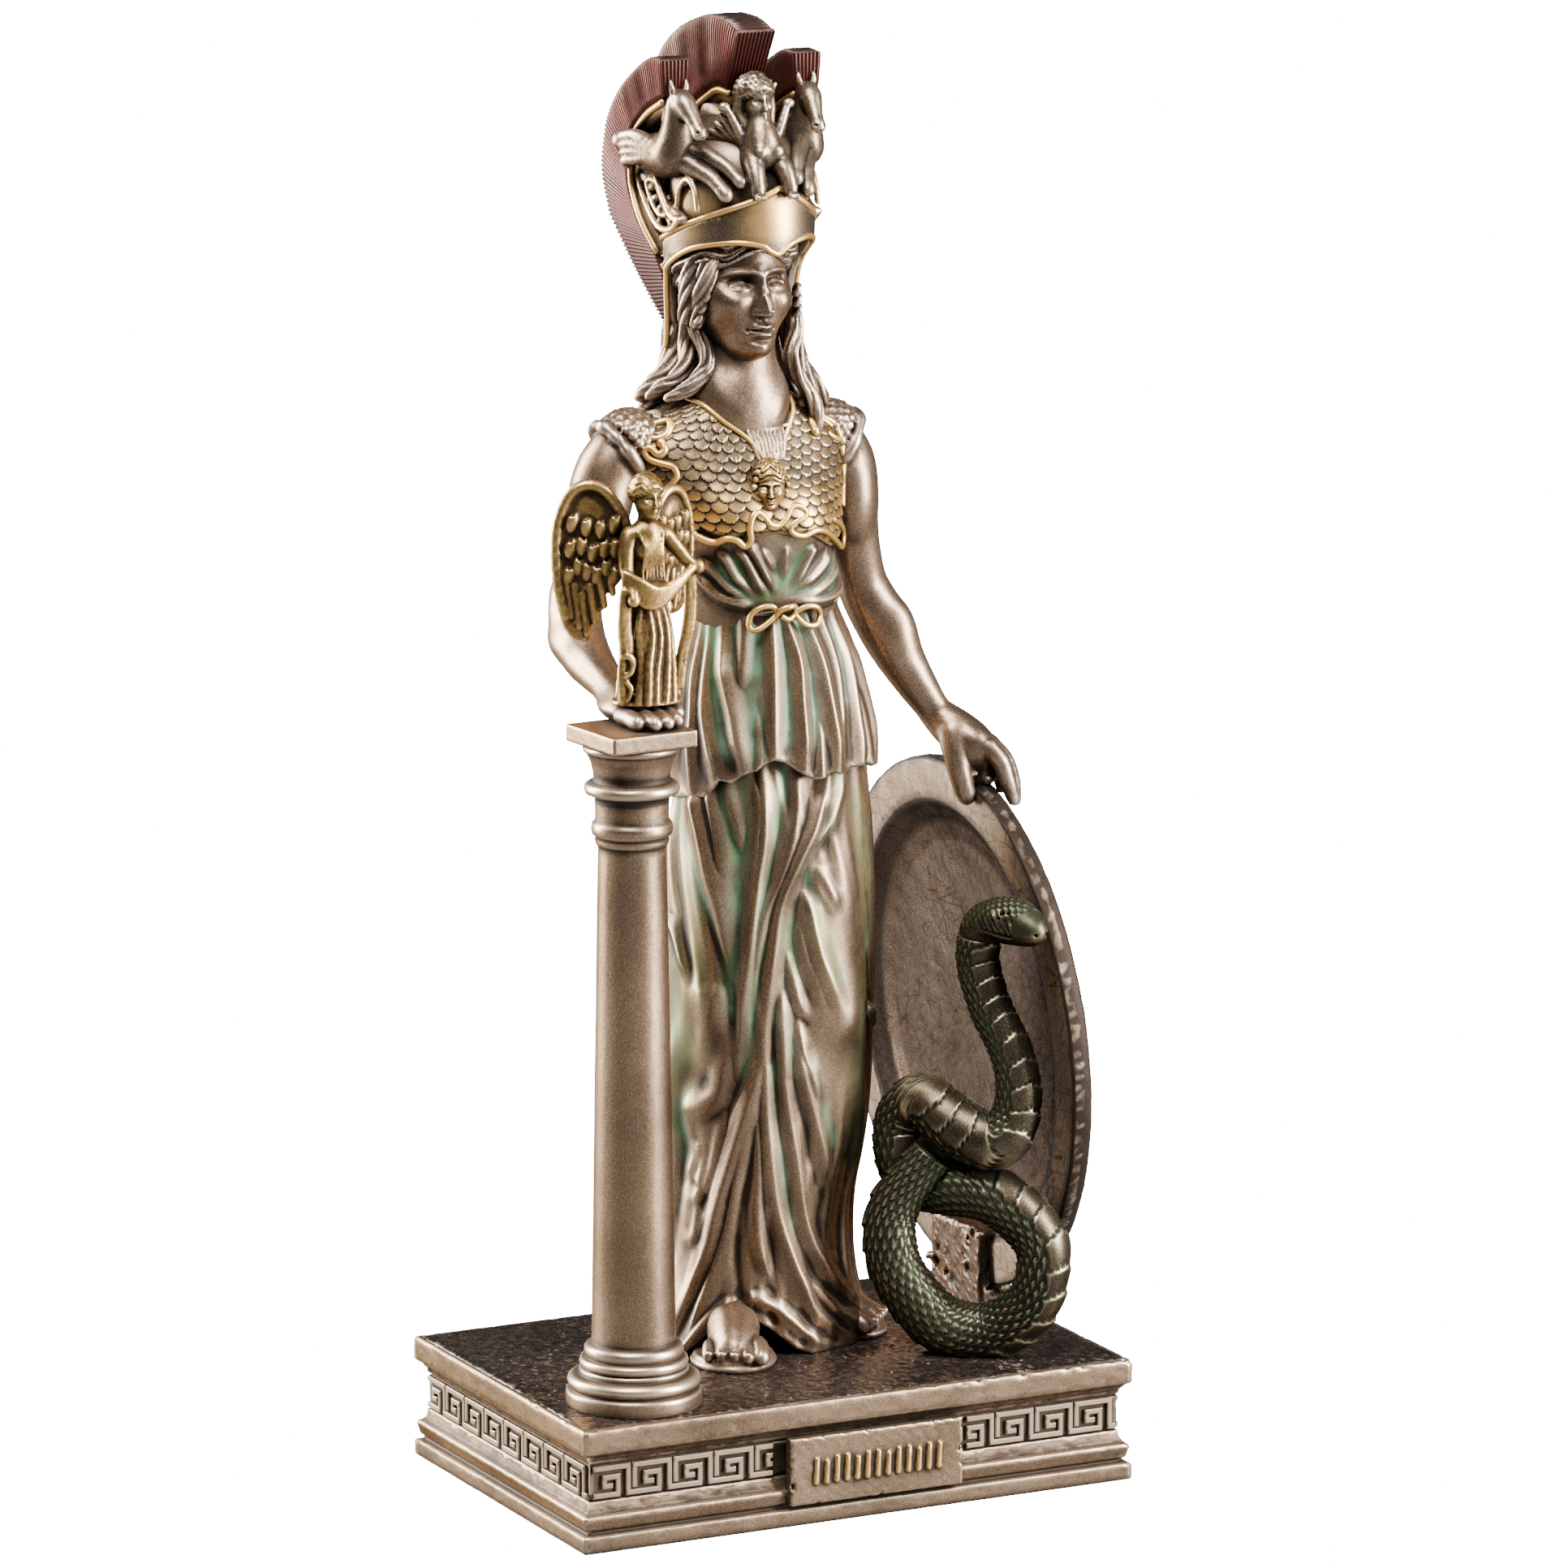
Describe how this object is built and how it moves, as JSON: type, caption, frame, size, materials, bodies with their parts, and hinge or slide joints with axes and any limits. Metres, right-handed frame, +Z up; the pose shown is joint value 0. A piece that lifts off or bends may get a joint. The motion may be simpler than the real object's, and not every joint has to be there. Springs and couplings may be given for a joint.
{
  "type": "athena statue",
  "caption": "Small cast statuette of a helmeted goddess in a folded gown and scaled aegis, one hand on a column, the other on a shield with a serpent, on a key-pattern plinth.",
  "frame": {"origin": "centre of the plinth's flat underside", "axes": "+Z up, -Y out of the plinth's name-plate face, +X to the right as seen facing the name plate"},
  "size_m": [0.0601, 0.0557, 0.1446],
  "materials": {
    "bronze_resin": "cold-cast bronze resin, satin, dark antiquing in the recesses and a pale rub on the ridges",
    "gilt_resin": "bronze resin dry-brushed with gold over dark antiquing",
    "green_resin": "bronze resin washed dark green, rubbed back on the belly plates"
  },
  "bodies": {
    "root": {"plinth": "bronze_resin", "name_plate": "bronze_resin", "figure": "bronze_resin", "column": "bronze_resin", "victory": "gilt_resin", "shield": "bronze_resin", "serpent": "green_resin"}
  },
  "joints": []
}
